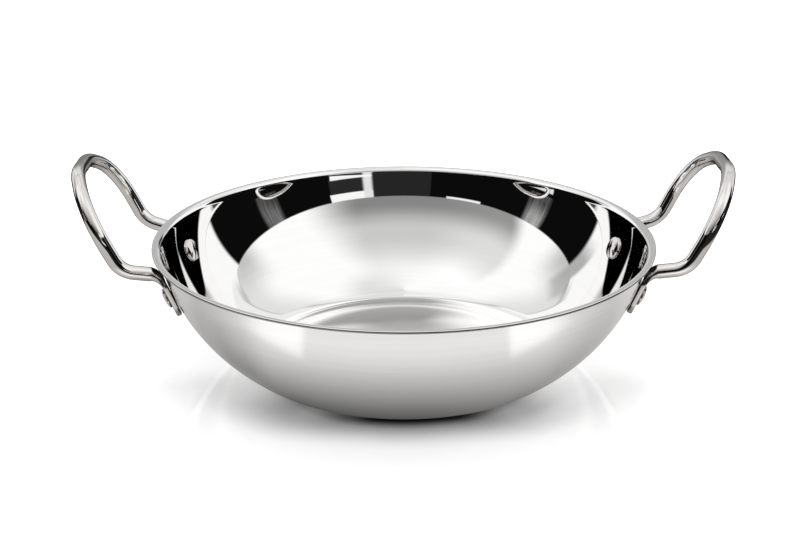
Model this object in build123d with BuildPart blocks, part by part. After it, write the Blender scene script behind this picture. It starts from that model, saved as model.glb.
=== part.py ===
from build123d import *
import os
from math import acos, atan2, cos, radians, sin, sqrt, tan

os.makedirs("parts", exist_ok=True)

# A kadai: a drawn steel pan with two bent rod handles, each leg held by one rivet.
# Millimetres and degrees. The origin is on the floor under the middle of the base,
# +Z is up, and the handles lie along X.

# Bowl sizes
rim_radius = 125.0
bowl_height = 64.8
sheet = 1.3
base_radius = 72.0
corner_radius = 16.6
lip_slope = 77.56
lip_bend = 1.6
lip_flat = 1.5
lip_edge_share = 0.38

# Handle sizes: the elbow is where a leg turns up, the knee is half way up the loop,
# and the shoulder is where the loop turns over into the grip
rod_diameter = 7.0
leg_angle = 16.0
elbow_standoff = 16.0
elbow_drop = 4.0
run_slope = 11.5
knee_lean = 14.4
knee_spread = 1.5
knee_rise = 29.0
shoulder_lean = 22.5
shoulder_half_width = 12.7
shoulder_rise = 41.0
# how much of the shorter run beside it the bend at each corner takes up
elbow_bend_share = 0.45
knee_bend_share = 0.63
shoulder_bend_share = 0.29

# Palm sizes: the palm is the flattened end of a leg
palm_width = 12.5
palm_thickness = 2.8
palm_below_rivet = 10.6
palm_bend = 8.0
palm_edge_share = 0.4
palm_seat_gap = 0.03
flatten_steps = 4

# Rivet sizes: the rivet's drop is along the palm, from the corner where the lines of
# palm and run meet
rivet_below_corner = 12.7
shank_diameter = 5.0
shank_clearance = 0.05
inner_head_diameter = 11.5
inner_head_height = 1.6
inner_head_edge = 0.7
outer_head_diameter = 10.0
outer_head_height = 1.9
outer_head_edge = 0.8

# Half section of the bowl, outer face, X from the axis and Y up. The lip ends level,
# so its bend is centred straight below its start. The flank is the one arc that comes
# up at lip_slope to the bend of the lip and runs smoothly out of the base corner.
corner_centre = Vector(base_radius, corner_radius)
lip_centre = Vector(rim_radius - lip_flat, bowl_height - sheet - lip_bend)
flank_to_lip = Vector(sin(radians(lip_slope)), -cos(radians(lip_slope)))
corner_to_lip = lip_centre - flank_to_lip * lip_bend - corner_centre
flank_reach = 2 * (corner_to_lip.dot(flank_to_lip) - corner_radius)
flank_radius = (corner_to_lip.length**2 - corner_radius**2) / flank_reach
flank_centre = lip_centre - flank_to_lip * (flank_radius + lip_bend)
flank_inward = (flank_centre - corner_centre).normalized()
level_up = Vector(0, 1)

# Leg line in the upright plane of the leg, X from the bowl's axis and Y up. The run
# comes in from the elbow to a corner beside the wall, and from there the palm goes
# down to the rivet, where it lies along the wall. The palm bend rounds the corner.
palm_middle = palm_seat_gap + palm_thickness / 2
palm_circle = flank_radius + palm_middle
elbow_point = Vector(rim_radius + elbow_standoff, bowl_height - elbow_drop)
run_out = Vector(cos(radians(run_slope)), sin(radians(run_slope)))
elbow_reach = elbow_point - flank_centre
elbow_along = elbow_reach.dot(run_out)
corner_distance = sqrt(palm_circle**2 + rivet_below_corner**2)
run_length = elbow_along - sqrt(elbow_along**2 - elbow_reach.length**2 + corner_distance**2)
palm_corner = elbow_point - run_out * run_length
corner_reach = palm_corner - flank_centre
rivet_angle = atan2(corner_reach.Y, corner_reach.X) - acos(palm_circle / corner_distance)
wall_out = Vector(cos(rivet_angle), sin(rivet_angle))
wall_up = Vector(-wall_out.Y, wall_out.X)
rivet_point = flank_centre + wall_out * flank_radius
palm_point = rivet_point + wall_out * palm_middle
palm_turn = wall_up.get_angle(run_out)
bend_setback = palm_bend * tan(radians(palm_turn / 2))
palm_top = rivet_below_corner - bend_setback
bend_centre = palm_point + wall_up * palm_top + wall_out * palm_bend
run_start = palm_corner + run_out * bend_setback

# Where each leg stands round the bowl's axis, from +X
leg_azimuths = {
    "right": {"front": -leg_angle, "back": leg_angle},
    "left": {"back": 180 - leg_angle, "front": 180 + leg_angle},
}


def between(first, second):
    """Unit direction half way between two unit directions."""
    return (first + second).normalized()


def in_leg(flat, azimuth):
    """Turn a point or direction of a leg's upright plane into one of the object."""
    return Vector(flat.X, 0, flat.Y).rotate(Axis.Z, azimuth)


def leg_plane(point, facing, azimuth):
    """Plane at a point of a leg's upright plane, square to a direction in it."""
    across = Vector(0, 1, 0).rotate(Axis.Z, azimuth)
    return Plane(origin=in_leg(point, azimuth), x_dir=across, z_dir=in_leg(facing, azimuth))


def cut_rivet_hole(azimuth):
    """Cut the hole of the rivet at this azimuth through the part being built."""
    with BuildSketch(leg_plane(rivet_point, wall_out, azimuth)) as hole:
        Circle(shank_diameter / 2 + shank_clearance)
    extrude(hole.sketch, amount=sheet + 2 * palm_thickness, both=True, mode=Mode.SUBTRACT)


with BuildPart() as bowl:
    with BuildSketch(Plane.XZ) as half_section:
        with BuildLine():
            axis_points = []
            lip_points = []
            for depth in (0, sheet):
                corner = corner_radius - depth
                flank = flank_radius - depth
                bend = lip_bend + depth
                base_end = corner_centre - level_up * corner
                flank_start = corner_centre - flank_inward * corner
                flank_end = flank_centre + flank_to_lip * flank
                bend_end = lip_centre + level_up * bend
                axis_points.append(Vector(0, depth))
                lip_points.append(Vector(rim_radius, bend_end.Y))
                Line(axis_points[-1], base_end)
                corner_middle = corner_centre - between(level_up, flank_inward) * corner
                ThreePointArc(base_end, corner_middle, flank_start)
                flank_middle = flank_centre + between(flank_to_lip, -flank_inward) * flank
                ThreePointArc(flank_start, flank_middle, flank_end)
                bend_middle = lip_centre + between(level_up, -flank_to_lip) * bend
                ThreePointArc(flank_end, bend_middle, bend_end)
                Line(bend_end, lip_points[-1])
            Line(axis_points[0], axis_points[1])
            Line(lip_points[0], lip_points[1])
        make_face()
        fillet(half_section.vertices().group_by(Axis.X)[-1], sheet * lip_edge_share)
    revolve(axis=Axis.Z)
    for azimuths in leg_azimuths.values():
        for azimuth in azimuths.values():
            cut_rivet_hole(azimuth)
bowl.part.label = "bowl"
export_step(bowl.part, "parts/bowl.step")

# Corners of the rod's line on the right, from the front palm over the grip to the back
loop_points = []
for row in (-1, 1):
    elbow = in_leg(elbow_point, row * leg_angle)
    knee = elbow + Vector(knee_lean, row * knee_spread, knee_rise)
    shoulder_x = elbow.X + shoulder_lean
    shoulder = Vector(shoulder_x, row * shoulder_half_width, elbow.Z + shoulder_rise)
    leg_points = [in_leg(run_start, row * leg_angle), elbow, knee, shoulder]
    loop_points += leg_points[::-row]
loop_shares = [elbow_bend_share, knee_bend_share, shoulder_bend_share]
loop_bends = []
for share, before, corner, after in zip(
    loop_shares + loop_shares[::-1], loop_points, loop_points[1:], loop_points[2:]
):
    setback = share * min((corner - before).length, (after - corner).length)
    turn = (corner - before).get_angle(after - corner)
    loop_bends.append(setback / tan(radians(turn / 2)))
print("bends along the rod", [round(bend, 1) for bend in loop_bends])

for side, azimuths in leg_azimuths.items():
    side_turn = sum(azimuths.values()) / 2
    palm_edge_round = palm_thickness * palm_edge_share
    with BuildPart() as handle:
        for azimuth in azimuths.values():
            palm_plane = leg_plane(palm_point, wall_out, azimuth)
            tip_middle = palm_width / 2 - palm_below_rivet
            with BuildSketch(palm_plane):
                with Locations((0, tip_middle)):
                    Circle(palm_width / 2)
                    Rectangle(palm_width, palm_top - tip_middle, align=(Align.CENTER, Align.MIN))
            extrude(amount=palm_thickness / 2, both=True)
            outline = []
            for edge in edges(Select.LAST):
                place = palm_plane.to_local_coords(edge.center())
                if abs(place.Z) > palm_thickness / 4 and place.Y < palm_top - palm_edge_round:
                    outline.append(edge)
            fillet(outline, palm_edge_round)

            with BuildSketch(leg_plane(palm_point + wall_up * palm_top, wall_up, azimuth)):
                RectangleRounded(palm_width, palm_thickness, palm_edge_round)
            for step in range(1, flatten_steps + 1):
                along = step / flatten_steps
                angle = atan2(wall_up.Y, wall_up.X) - radians(palm_turn) * along
                heading = Vector(cos(angle), sin(angle))
                outward = Vector(heading.Y, -heading.X)
                width = palm_width + (rod_diameter - palm_width) * along
                thickness = palm_thickness + (rod_diameter - palm_thickness) * along
                with BuildSketch(leg_plane(bend_centre - outward * palm_bend, heading, azimuth)):
                    Ellipse(width / 2, thickness / 2)
            loft()

        with BuildLine() as rod_line:
            turned_points = [point.rotate(Axis.Z, side_turn) for point in loop_points]
            FilletPolyline(*turned_points, radius=loop_bends)
        with BuildSketch(Plane(origin=rod_line.line @ 0, z_dir=rod_line.line % 0)):
            Circle(rod_diameter / 2)
        sweep(path=rod_line.line)
        for azimuth in azimuths.values():
            cut_rivet_hole(azimuth)
    handle.part.label = f"{side}_handle"
    export_step(handle.part, f"parts/{side}_handle.step")

    for row, azimuth in azimuths.items():
        rivet_axis = Axis(in_leg(rivet_point, azimuth), in_leg(wall_out, azimuth))
        inner_curve = min(flank_radius, rivet_point.X / wall_out.X) - sheet
        inner_radius = inner_head_diameter / 2
        outer_radius = outer_head_diameter / 2
        inner_seat = -sheet - (inner_curve - sqrt(inner_curve**2 - inner_radius**2))
        outer_seat = palm_seat_gap + palm_thickness
        across = Vector(0, 1, 0).rotate(Axis.Z, azimuth)
        half_plane = Plane(
            origin=rivet_axis.position, x_dir=across, z_dir=across.cross(rivet_axis.direction)
        )
        with BuildPart() as rivet:
            with BuildSketch(half_plane):
                with BuildLine():
                    inner_top = Vector(0, inner_seat - inner_head_height)
                    inner_edge = Vector(inner_radius, inner_seat - inner_head_edge)
                    outer_edge = Vector(outer_radius, outer_seat + outer_head_edge)
                    outer_top = Vector(0, outer_seat + outer_head_height)
                    TangentArc(inner_top, inner_edge, tangent=(1, 0))
                    Polyline(
                        inner_edge,
                        (inner_radius, inner_seat),
                        (shank_diameter / 2, inner_seat),
                        (shank_diameter / 2, outer_seat),
                        (outer_radius, outer_seat),
                        outer_edge,
                    )
                    TangentArc(outer_top, outer_edge, tangent=(1, 0))
                    Line(outer_top, inner_top)
                make_face()
            revolve(axis=rivet_axis)
        rivet.part.label = f"{side}_{row}_rivet"
        export_step(rivet.part, f"parts/{side}_{row}_rivet.step")
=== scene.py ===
"""A steel kadai on a white studio table: a bowl, two loop handles and four rivets.

Lengths are in metres, +Z is up, and the right handle lies on +X.
"""

from __future__ import annotations

import logging
import math
from dataclasses import dataclass, field
from enum import Enum
from typing import Iterable, Sequence, Union

import bmesh
import bpy
from mathutils import Matrix, Vector


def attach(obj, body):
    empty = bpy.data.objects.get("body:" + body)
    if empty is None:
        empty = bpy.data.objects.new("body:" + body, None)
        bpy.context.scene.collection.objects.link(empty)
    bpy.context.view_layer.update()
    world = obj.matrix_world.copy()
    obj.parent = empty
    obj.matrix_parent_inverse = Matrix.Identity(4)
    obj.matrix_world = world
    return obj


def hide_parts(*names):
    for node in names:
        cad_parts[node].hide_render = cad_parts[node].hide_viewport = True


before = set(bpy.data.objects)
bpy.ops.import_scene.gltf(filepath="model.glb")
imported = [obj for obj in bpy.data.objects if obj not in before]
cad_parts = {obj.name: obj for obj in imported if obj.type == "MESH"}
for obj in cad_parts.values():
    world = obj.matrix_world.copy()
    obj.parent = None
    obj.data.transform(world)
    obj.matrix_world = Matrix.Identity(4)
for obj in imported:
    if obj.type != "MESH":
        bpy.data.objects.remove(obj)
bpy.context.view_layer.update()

LOG = logging.getLogger("kadai")
MM = 0.001
DEGREES = 180.0 / math.pi
QUARTER = math.pi / 2.0
MERGE_DISTANCE = 1e-7
GUIDE_RADIUS = 0.1
NOISE_MIDDLE = 0.5
# black, towards which the painted shade on the handles' palms darkens
BLACK = (0.0, 0.0, 0.0)
# glossy depths of steel that is seen straight and of steel that is seen in steel
SECOND_BOUNCE = (1.0, 2.0)

Value = Union["Wire", float]
Span = tuple[float, float]
Tint = tuple[float, float, float]
Colour = Union["Wire", tuple[float, float, float, float]]


class Side(Enum):
    """Which handle, by the azimuth of its middle in degrees from +X."""

    RIGHT = 0.0
    LEFT = 180.0


class Row(Enum):
    """Which leg of a handle, by its side of the handle's middle plane."""

    FRONT = -1
    BACK = 1


# Node trees


@dataclass(frozen=True)
class Wire:
    """One output socket of a tree, on which sums can be written as in Python."""

    tree: "NodeWorks"
    socket: bpy.types.NodeSocket

    def __add__(self, other: Value) -> "Wire":
        """Return self + other."""
        return self.tree.maths("ADD", self, other)

    def __radd__(self, other: Value) -> "Wire":
        """Return other + self."""
        return self.tree.maths("ADD", other, self)

    def __sub__(self, other: Value) -> "Wire":
        """Return self - other."""
        return self.tree.maths("SUBTRACT", self, other)

    def __rsub__(self, other: Value) -> "Wire":
        """Return other - self."""
        return self.tree.maths("SUBTRACT", other, self)

    def __mul__(self, other: Value) -> "Wire":
        """Return self * other."""
        return self.tree.maths("MULTIPLY", self, other)

    def __rmul__(self, other: Value) -> "Wire":
        """Return other * self."""
        return self.tree.maths("MULTIPLY", other, self)

    def __truediv__(self, other: Value) -> "Wire":
        """Return self / other."""
        return self.tree.maths("DIVIDE", self, other)

    def __rtruediv__(self, other: Value) -> "Wire":
        """Return other / self."""
        return self.tree.maths("DIVIDE", other, self)

    def __neg__(self) -> "Wire":
        """Return -self."""
        return self.tree.maths("MULTIPLY", self, -1.0)

    def largest(self, other: Value) -> "Wire":
        """Return the larger of self and other."""
        return self.tree.maths("MAXIMUM", self, other)

    def size(self) -> "Wire":
        """Return the value without its sign."""
        return self.tree.maths("ABSOLUTE", self)

    def blend(self, share: Value, other: Value) -> "Wire":
        """Return self, moved to other by a share from 0 to 1."""
        return self + share * (other - self)

    def rise(self, span: Span) -> "Wire":
        """Make a smooth step from 0 at the start of a span to 1 at its end.

        Args:
            span: Where the step starts and ends.

        Returns:
            The step.
        """
        node = self.tree.add(
            "ShaderNodeMapRange",
            {"interpolation_type": "SMOOTHSTEP"},
            {"Value": self, "From Min": span[0], "From Max": span[1]},
        )
        return self.tree.wire(node, "Result")

    def fall(self, span: Span) -> "Wire":
        """Return a smooth step from 1 at the start of a span to 0 at its end."""
        return 1.0 - self.rise(span)

    def within(self, span: Span, soft: float) -> "Wire":
        """Return 1 inside a span, falling to 0 over an edge that is twice soft wide."""
        low, high = span
        return self.rise((low - soft, low + soft)) * self.fall((high - soft, high + soft))


class NodeWorks:
    """Adds nodes to one tree, shader or geometry."""

    def __init__(self, tree: bpy.types.NodeTree) -> None:
        """Start on a tree, which is emptied first."""
        self.tree = tree
        self.tree.nodes.clear()

    def add(self, kind: str, settings: dict | None = None, inputs: dict | None = None) -> bpy.types.Node:
        """Add one node.

        Args:
            kind: The node's type name.
            settings: Properties of the node, set before its sockets.
            inputs: Values or wires for its sockets, by name or number.

        Returns:
            The new node.
        """
        node = self.tree.nodes.new(kind)
        for name, value in (settings or {}).items():
            setattr(node, name, value)
        for name, value in (inputs or {}).items():
            socket = node.inputs[name]
            if isinstance(value, Wire):
                self.tree.links.new(value.socket, socket)
            else:
                socket.default_value = value
        return node

    def wire(self, node: bpy.types.Node, output: Union[str, int] = 0) -> Wire:
        """Return one output of a node as a wire."""
        return Wire(self, node.outputs[output])

    def place(self) -> Wire:
        """Return the place on the object."""
        return self.wire(self.add("ShaderNodeTexCoord"), "Object")

    def mark(self, name: str) -> Wire:
        """Return an attribute of the mesh."""
        return self.wire(self.add("ShaderNodeAttribute", {"attribute_name": name}), "Fac")

    def end(self, kind: str, shader: bpy.types.Node) -> None:
        """Add the output node of this kind and give it the shader."""
        self.tree.links.new(shader.outputs[0], self.add(kind).inputs["Surface"])

    def maths(self, operation: str, first: Value, second: Value = 0.0) -> Wire:
        """Return the result of a Math node."""
        return self.wire(self.add("ShaderNodeMath", {"operation": operation}, {0: first, 1: second}))

    def apart(self, vector: Wire) -> tuple[Wire, Wire, Wire]:
        """Return the three parts of a vector."""
        node = self.add("ShaderNodeSeparateXYZ", None, {0: vector})
        return self.wire(node, 0), self.wire(node, 1), self.wire(node, 2)

    def together(self, x: Value, y: Value, z: Value) -> Wire:
        """Return a vector made of three values."""
        return self.wire(self.add("ShaderNodeCombineXYZ", None, {0: x, 1: y, 2: z}))

    def colour_mix(self, factor: Value, first: Colour, second: Colour) -> Wire:
        """Return a mix of two colours, where factor is the share of the second."""
        inputs = {"Factor": factor, 6: first, 7: second}
        return self.wire(self.add("ShaderNodeMix", {"data_type": "RGBA"}, inputs), 2)

    def noise(self, vector: Wire, scale: float, detail: float = 2.0, roughness: float = 0.5) -> Wire:
        """Return a noise from 0 to 1, with finer layers of some number and strength."""
        inputs = {"Vector": vector, "Scale": scale, "Detail": detail, "Roughness": roughness}
        return self.wire(self.add("ShaderNodeTexNoise", None, inputs))


# Finishes


def opaque(tint: Tint) -> tuple[float, float, float, float]:
    """Return a tint as a colour with full alpha."""
    return (*tint, 1.0)


@dataclass(frozen=True)
class Lines:
    """Fine lines round the bowl's axis.

    Attributes:
        across: How fast they change across their run, for each metre.
        along: How fast they change along it, for each radian.
        roughness: How strong their finer layers are.
        detail: How many finer layers they have.
    """

    across: float
    along: float
    roughness: float = 0.5
    detail: float = 3.0

    def seen(self, works: NodeWorks, reach: Wire, turn: Wire, height: Wire) -> Wire:
        """Return the lines, from 0 to 1, by reach from the axis, turn in radians and height."""
        grain = works.together(reach * self.across, turn * self.along, height * self.across)
        return works.noise(grain, 1.0, self.detail, self.roughness)


@dataclass(frozen=True)
class Steel:
    """A brushed or polished stainless finish.

    Attributes:
        name: Name of the material.
        tint: Base colour.
        roughness: Plain roughness of the metal.
        brushing: How far the brush lines move the roughness.
        bump: Height of the brush lines, in metres.
        grazing: The metal's tint where it is seen at a low angle.
    """

    name: str
    tint: Tint
    roughness: float
    brushing: float
    bump: float
    grazing: Tint = (1.0, 1.0, 1.0)

    def start(self) -> tuple[bpy.types.Material, NodeWorks]:
        """Make a new material.

        Returns:
            The material and its emptied tree.
        """
        material = bpy.data.materials.new(self.name)
        material.use_nodes = True
        return material, NodeWorks(material.node_tree)

    def finish(self, works: NodeWorks, colour: Colour, roughness: Wire, height: Wire) -> None:
        """Put the shader at the end of the tree.

        Args:
            works: The material's tree.
            colour: Base colour.
            roughness: Roughness over the surface.
            height: Height of the brush lines, 0 to 1.
        """
        inputs = {"Strength": 1.0, "Distance": self.bump, "Height": height}
        bump = works.add("ShaderNodeBump", None, inputs)
        shader = works.add(
            "ShaderNodeBsdfPrincipled",
            None,
            {
                "Base Color": colour,
                "Metallic": 1.0,
                "Roughness": roughness,
                "Specular Tint": opaque(self.grazing),
                "Normal": works.wire(bump),
            },
        )
        works.end("ShaderNodeOutputMaterial", shader)


@dataclass(frozen=True)
class BowlSteel(Steel):
    """Sheet that is polished inside and satin outside, brushed round the bowl's axis.

    The bowl's mesh has the attributes "inside" and "edge", which are 1 on the inner face
    and on the cut edge of the lip.

    Attributes:
        lines: The fine brush lines.
        bands: The broader bands among them.
        line_height: Share of the lines in the height of the brushing.
        band_height: Share of the bands in it.
        line_shade: How far the lines darken the base colour.
        band_shade: How far the bands do.
        base_band_shade: How much further the bands do in the middle of the base.
        dark_share: Base colour of the darkest lines, as a share of the tint.
        cloud_scale: Scale of the clouds in the satin.
        cloud_detail: How many finer layers they have.
        cloud_roughness: How far they move the roughness.
        satin_roughness: Roughness of the outer face.
        satin_brushing: How far the lines move it there.
        edge_roughness: Roughness of the cut edge.
        edge_shade_tint: Base colour of the cut edge, darkened as painted shade for the dark line under the
            lip.
        least_roughness: The lowest roughness.
        base_roughness: How much rougher the middle of the base is, which is spun.
        base_shade_tint: Base colour of that middle, darkened as painted shade.
        base_reach: Radii between which the base's finish and painted shade give way to the flank's.
        palm_angle: Azimuth of the palms from the X axis, in degrees.
        palm_shade_reach: Where the painted shade round a palm ends, from the palm's middle line.
        palm_shade_foot: Height of the middle of the palm's round end, which the painted shade follows below
            the palm.
        palm_shade_tint: Base colour of the painted shade round a palm, where the palm shades the wall.
    """

    lines: Lines = Lines(1500.0, 3.0, 0.6)
    bands: Lines = Lines(420.0, 0.8)
    line_height: float = 0.6
    band_height: float = 0.4
    line_shade: float = 0.3
    band_shade: float = 0.5
    base_band_shade: float = 1.2
    dark_share: float = 0.88
    cloud_scale: float = 22.0
    cloud_detail: float = 3.0
    cloud_roughness: float = 0.05
    satin_roughness: float = 0.15
    satin_brushing: float = 0.06
    edge_roughness: float = 0.14
    edge_shade_tint: Tint = (0.34, 0.335, 0.33)
    least_roughness: float = 0.01
    base_roughness: float = 0.094
    base_shade_tint: Tint = (0.62, 0.615, 0.61)
    base_reach: Span = (0.040, 0.068)
    palm_angle: float = 16.0
    palm_shade_reach: Span = (0.0068, 0.0077)
    palm_shade_foot: float = 0.0419
    palm_shade_tint: Tint = (0.05, 0.048, 0.046)

    def build(self) -> bpy.types.Material:
        """Build the material.

        Returns:
            The material.
        """
        material, works = self.start()
        place = works.place()
        x, y, z = works.apart(place)
        reach = works.maths("SQRT", x * x + y * y)
        turn = works.maths("ARCTAN2", y, x).size()
        lines = self.lines.seen(works, reach, turn, z)
        bands = self.bands.seen(works, reach, turn, z)
        clouds = works.noise(place, self.cloud_scale, self.cloud_detail) - NOISE_MIDDLE
        line, band = lines - NOISE_MIDDLE, bands - NOISE_MIDDLE
        inside, edge = works.mark("inside"), works.mark("edge")
        base = inside * reach.fall(self.base_reach)
        polished = self.roughness + line * self.brushing + band * self.brushing
        polished = polished + base * self.base_roughness
        satin = self.satin_roughness + line * self.satin_brushing + clouds * self.cloud_roughness
        roughness = satin.blend(inside, polished).blend(edge, self.edge_roughness)
        shade = band * (base * self.base_band_shade + self.band_shade)
        shade = shade + line * self.line_shade + NOISE_MIDDLE
        dark = tuple(part * self.dark_share for part in self.tint)
        colour = works.colour_mix(shade, opaque(self.tint), opaque(dark))
        # painted shade: the middle of the base gets a darker base colour
        colour = works.colour_mix(base, colour, opaque(self.base_shade_tint))
        # painted shade: the lip's cut edge is darkened to give the dark line of shade under the lip
        colour = works.colour_mix(edge, colour, opaque(self.edge_shade_tint))
        # painted shade: a dark band on the outer wall round each palm and under its foot, where the palm
        # shades the wall
        leg = works.maths("ARCTAN2", y.size(), x.size()) - math.radians(self.palm_angle)
        across = leg * reach
        below = (self.palm_shade_foot - z).largest(0.0)
        palm_shade = works.maths("SQRT", across * across + below * below).fall(self.palm_shade_reach)
        palm_shade = palm_shade * (1.0 - inside) * (1.0 - edge)
        colour = works.colour_mix(palm_shade, colour, opaque(self.palm_shade_tint))
        height = lines * self.line_height + bands * self.band_height
        self.finish(works, colour, roughness.largest(self.least_roughness), height)
        return material


@dataclass(frozen=True)
class RodSteel(Steel):
    """Polished steel with a faint warm cast, which can be darker low down, in a rod's palms.

    Attributes:
        warm: Base colour of the warm patches.
        warm_clouds: Values of the clouds between which it comes in.
        cloud_scale: Scale of the clouds.
        scratch_scale: Scale of the fine scratches.
        palm_painted_shade: How much darker the flattened ends are, as painted shade.
        palm_shade_heights: Heights between which the painted shade on the ends gives way to the rod.
    """

    warm: Tint = (0.72, 0.69, 0.66)
    warm_clouds: Span = (0.30, 0.80)
    cloud_scale: float = 40.0
    scratch_scale: float = 1400.0
    palm_painted_shade: float = 0.0
    palm_shade_heights: Span = (0.053, 0.059)

    def build(self) -> bpy.types.Material:
        """Build the material.

        Returns:
            The material.
        """
        material, works = self.start()
        place = works.place()
        scratches = works.noise(place, self.scratch_scale)
        roughness = self.roughness + (scratches - NOISE_MIDDLE) * self.brushing
        warmth = works.noise(place, self.cloud_scale).rise(self.warm_clouds)
        colour = works.colour_mix(warmth, opaque(self.tint), opaque(self.warm))
        # painted shade: the palms, below these heights, are darkened towards black
        shade = works.apart(place)[2].fall(self.palm_shade_heights) * self.palm_painted_shade
        colour = works.colour_mix(shade, colour, opaque(BLACK))
        self.finish(works, colour, roughness, scratches)
        return material


# Shared shapes


def flat(angle: float) -> Vector:
    """Return the unit direction at an angle, in radians, in an upright plane."""
    return Vector((math.cos(angle), math.sin(angle)))


def arc_points(centre: Vector, radius: float, first: float, last: float, count: int) -> list[Vector]:
    """Return count + 1 points along an arc of an upright plane, between two angles in radians."""
    return [centre + flat(first + (last - first) * i / count) * radius for i in range(count + 1)]


def line_points(first: Vector, last: Vector, count: int) -> list[Vector]:
    """Return count + 1 evenly spaced points from first to last."""
    return [first.lerp(last, i / count) for i in range(count + 1)]


def without_repeats(points: Iterable[Vector]) -> list[Vector]:
    """Leave out each point that repeats the one before it.

    Args:
        points: The points.

    Returns:
        The points that are kept.
    """
    kept: list[Vector] = []
    for point in points:
        if not kept or (point - kept[-1]).length > MERGE_DISTANCE:
            kept.append(point)
    return kept


@dataclass(frozen=True)
class Spin:
    """A Geometry Nodes tree that turns half a section round the Z axis.

    Attributes:
        name: Name of the tree.
        steps: Steps round the axis.
        merge_distance: Distance under which the points of the turned section are one.
    """

    name: str
    steps: int = 256
    merge_distance: float = MERGE_DISTANCE * 10.0

    def build(self) -> bpy.types.NodeTree:
        """Build the tree, with its sizes as named inputs.

        Returns:
            The tree.
        """
        tree = bpy.data.node_groups.new(self.name, "GeometryNodeTree")
        tree.interface.new_socket("Half Section", in_out="INPUT", socket_type="NodeSocketGeometry")
        steps = tree.interface.new_socket("Steps Round", in_out="INPUT", socket_type="NodeSocketInt")
        steps.default_value = self.steps
        tree.interface.new_socket("Steel", in_out="INPUT", socket_type="NodeSocketMaterial")
        for name in ("Tilt", "Seat", "Azimuth"):
            tree.interface.new_socket(name, in_out="INPUT", socket_type="NodeSocketVector")
        tree.interface.new_socket("Geometry", in_out="OUTPUT", socket_type="NodeSocketGeometry")
        works = NodeWorks(tree)
        group = works.add("NodeGroupInput")
        given = {socket.name: works.wire(group, i) for i, socket in enumerate(group.outputs)}
        circle = works.add(
            "GeometryNodeCurvePrimitiveCircle",
            None,
            {"Resolution": given["Steps Round"], "Radius": GUIDE_RADIUS},
        )
        section = works.add("GeometryNodeMeshToCurve", None, {"Mesh": given["Half Section"]})
        sweep = {"Curve": works.wire(circle), "Profile Curve": works.wire(section)}
        shape = works.add("GeometryNodeCurveToMesh", None, sweep)
        for kind, inputs in (
            ("GeometryNodeMergeByDistance", {"Distance": self.merge_distance}),
            ("GeometryNodeSetShadeSmooth", {"Shade Smooth": True}),
            ("GeometryNodeTransform", {"Rotation": given["Tilt"], "Translation": given["Seat"]}),
            ("GeometryNodeTransform", {"Rotation": given["Azimuth"]}),
            ("GeometryNodeRealizeInstances", {}),
            ("GeometryNodeSetMaterial", {"Material": given["Steel"]}),
            ("NodeGroupOutput", {}),
        ):
            shape = works.add(kind, None, {"Geometry": works.wire(shape), **inputs})
        return tree


def spun_piece(
    name: str,
    tree: bpy.types.NodeTree,
    section: Sequence[Vector],
    material: bpy.types.Material,
    steps: int,
    marks: dict[str, Sequence[float]] | None = None,
    tilt: float = 0.0,
    seat: Vector | None = None,
    azimuth: float = 0.0,
) -> bpy.types.Object:
    """Make a plain mesh piece with the spin tree.

    Args:
        name: Name of the piece.
        tree: The spin tree.
        section: Half section, X from the axis and Y up.
        material: The piece's material.
        steps: Steps round the axis.
        marks: Attributes of the section's points, by name.
        tilt: Turn about the Y axis after spinning, in radians.
        seat: Where the section's origin goes after the tilt.
        azimuth: Turn about the Z axis at the end, in radians.

    Returns:
        The piece.
    """
    mesh = bpy.data.meshes.new(name + "_section")
    edges = [(i, i + 1) for i in range(len(section) - 1)]
    # the tree sweeps the section along a guide circle, where X points outwards and Y down
    mesh.from_pydata([(point.x - GUIDE_RADIUS, -point.y, 0.0) for point in section], edges, [])
    for mark, values in (marks or {}).items():
        layer = mesh.attributes.new(mark, "FLOAT", "POINT")
        layer.data.foreach_set("value", list(values))
    maker = bpy.data.objects.new(name + "_maker", mesh)
    bpy.context.scene.collection.objects.link(maker)
    modifier = maker.modifiers.new("spin", "NODES")
    modifier.node_group = tree
    sockets = {item.name: item.identifier for item in tree.interface.items_tree}
    modifier[sockets["Steps Round"]] = steps
    modifier[sockets["Steel"]] = material
    modifier[sockets["Tilt"]] = (0.0, tilt, 0.0)
    modifier[sockets["Seat"]] = tuple(seat or Vector((0.0, 0.0, 0.0)))
    modifier[sockets["Azimuth"]] = (0.0, 0.0, azimuth)
    graph = bpy.context.evaluated_depsgraph_get()
    plain = bpy.data.meshes.new_from_object(maker.evaluated_get(graph))
    bpy.data.objects.remove(maker)
    return finished_piece(name, plain)


def finished_piece(name: str, mesh: bpy.types.Mesh) -> bpy.types.Object:
    """Make an object of a mesh, with faces that are smooth and all look outwards.

    Args:
        name: Name of the object.
        mesh: Its mesh.

    Returns:
        The object.
    """
    work = bmesh.new()
    work.from_mesh(mesh)
    bmesh.ops.remove_doubles(work, verts=work.verts, dist=MERGE_DISTANCE)
    bmesh.ops.recalc_face_normals(work, faces=work.faces)
    for face in work.faces:
        face.smooth = True
    work.to_mesh(mesh)
    work.free()
    mesh.name = name
    piece = bpy.data.objects.new(name, mesh)
    bpy.context.scene.collection.objects.link(piece)
    return piece


# The kadai


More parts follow.
